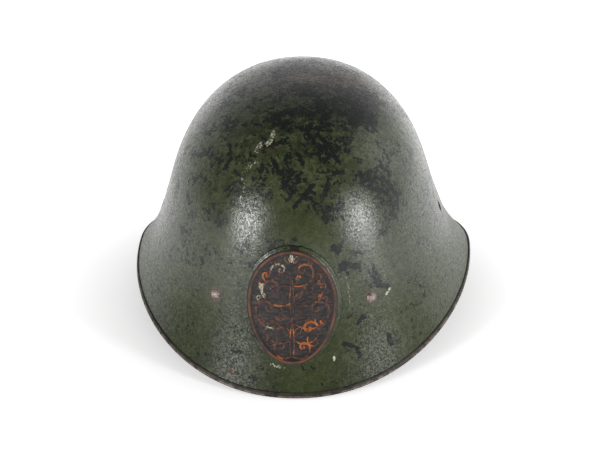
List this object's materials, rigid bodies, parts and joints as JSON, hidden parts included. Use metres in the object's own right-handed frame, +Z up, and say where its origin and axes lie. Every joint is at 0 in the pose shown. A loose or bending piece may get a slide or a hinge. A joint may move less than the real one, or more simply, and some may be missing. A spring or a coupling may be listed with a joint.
{
  "type": "steel helmet",
  "caption": "Pressed steel helmet with a deep bowl, flared skirt, bound rim, oval front plate, riveted leather liner and chinstrap.",
  "frame": {"origin": "on the table under the middle of the helmet, midway between the front and rear of the bound rim", "axes": "the front plate faces -Y, +X is on the right of someone who looks at the plate, +Z up"},
  "size_m": [0.2596, 0.2875, 0.1831],
  "materials": {
    "helmet_paint": "dark olive green field paint, semi-gloss, worn through to dark steel",
    "rim_steel": "painted steel strip, worn brown and bright along its edge",
    "plate_brass": "stamped brass plate with a dark ground, worn coppery on what stands up",
    "prong_brass": "dull brass sheet",
    "rivet_steel": "worn bare rivet head",
    "spacer_aluminium": "dull turned aluminium",
    "band_steel": "grey-green painted strip steel",
    "liner_leather": "brown vegetable-tanned leather, darkened by wear",
    "strap_leather": "brown harness leather with stitched folds",
    "small_rivet_steel": "dull tinned steel",
    "pad_felt": "grey-brown wool felt",
    "lace_cord": "dark brown waxed cord",
    "ring_steel": "dull steel wire"
  },
  "bodies": {
    "root": {"shell": "helmet_paint", "rim_binding": "rim_steel", "badge_plate": "plate_brass", "badge_prongs": "prong_brass", "rivet_front_left": "rivet_steel", "rivet_front_right": "rivet_steel", "rivet_rear": "rivet_steel", "rivet_spacers": "spacer_aluminium", "rivet_washers": "spacer_aluminium", "liner_band": "band_steel", "sweatband": "liner_leather", "sweatband_rivets": "small_rivet_steel", "pad_front": "pad_felt", "pad_rear": "pad_felt", "pad_left": "pad_felt", "pad_right": "pad_felt", "tongue_1": "liner_leather", "tongue_2": "liner_leather", "tongue_3": "liner_leather", "tongue_4": "liner_leather", "tongue_5": "liner_leather", "tongue_6": "liner_leather", "tongue_7": "liner_leather", "tongue_8": "liner_leather", "crown_lace": "lace_cord", "side_lug_left": "band_steel", "side_lug_right": "band_steel", "lug_rivets": "small_rivet_steel", "strap_long": "strap_leather", "strap_short": "strap_leather", "strap_keeper": "strap_leather", "buckle_frame": "ring_steel"},
    "left_ring": {"side_ring_left": "ring_steel"},
    "right_ring": {"side_ring_right": "ring_steel"},
    "tang": {"buckle_tang": "ring_steel"}
  },
  "joints": [
    {"name": "left_ring_swing", "type": "hinge", "parent": "root", "child": "left_ring", "pos_m": [-0.10329, 0.00477, 0.04046], "axis": [0, -1, 0], "range_deg": [-35, 75], "deforming": ["strap_long"]},
    {"name": "right_ring_swing", "type": "hinge", "parent": "root", "child": "right_ring", "pos_m": [0.10329, 0.00477, 0.04046], "axis": [0, 1, 0], "range_deg": [-35, 75], "deforming": ["strap_short"]},
    {"name": "tang_swing", "type": "hinge", "parent": "root", "child": "tang", "pos_m": [0.06, 0.00477, 0.00385], "axis": [0, 1, 0], "range_deg": [0, 115]}
  ]
}
